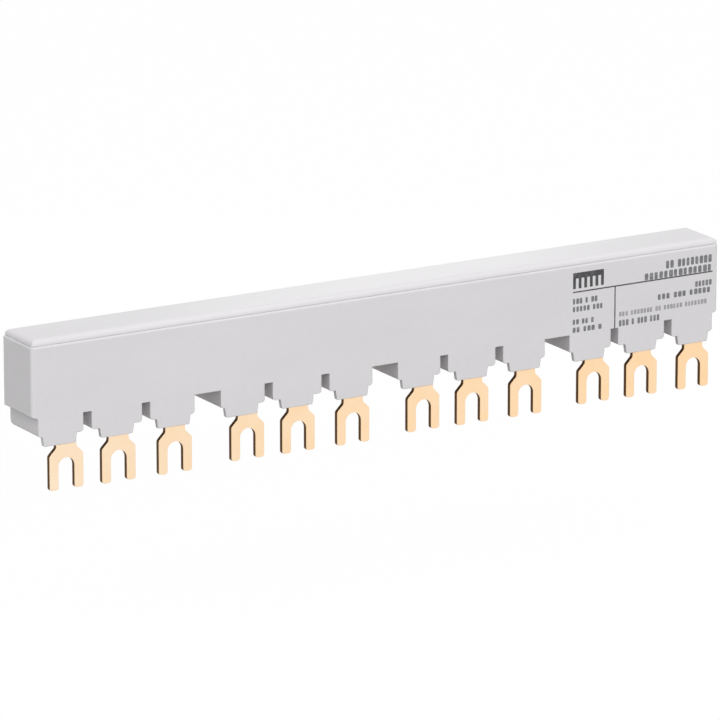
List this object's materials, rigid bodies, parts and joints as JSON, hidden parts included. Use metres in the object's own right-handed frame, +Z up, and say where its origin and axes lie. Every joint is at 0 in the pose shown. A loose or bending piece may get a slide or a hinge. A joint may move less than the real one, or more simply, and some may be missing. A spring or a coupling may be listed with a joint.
{
  "type": "comb busbar",
  "caption": "Insulated three-phase comb busbar with forked copper tongues, for linking a row of motor starters side by side.",
  "frame": {"origin": "bottom centre of the bounding box: midway along the housing and midway through its depth, level with the lowest fork tips", "axes": "+X along the row of starters, to the right as seen from the front; front face towards -Y; +Z up, away from the forks"},
  "size_m": [0.1764, 0.0128, 0.0347],
  "materials": {
    "shell": "satin light-grey moulded thermoplastic",
    "copper": "bright bare copper strip, stamped",
    "separator": "natural off-white moulded thermoplastic"
  },
  "bodies": {
    "root": {"housing": "shell", "cover": "shell", "comb_bar_rear": "copper", "comb_bar_middle": "copper", "comb_bar_front": "copper", "separator_rear": "separator", "separator_front": "separator"}
  },
  "joints": []
}
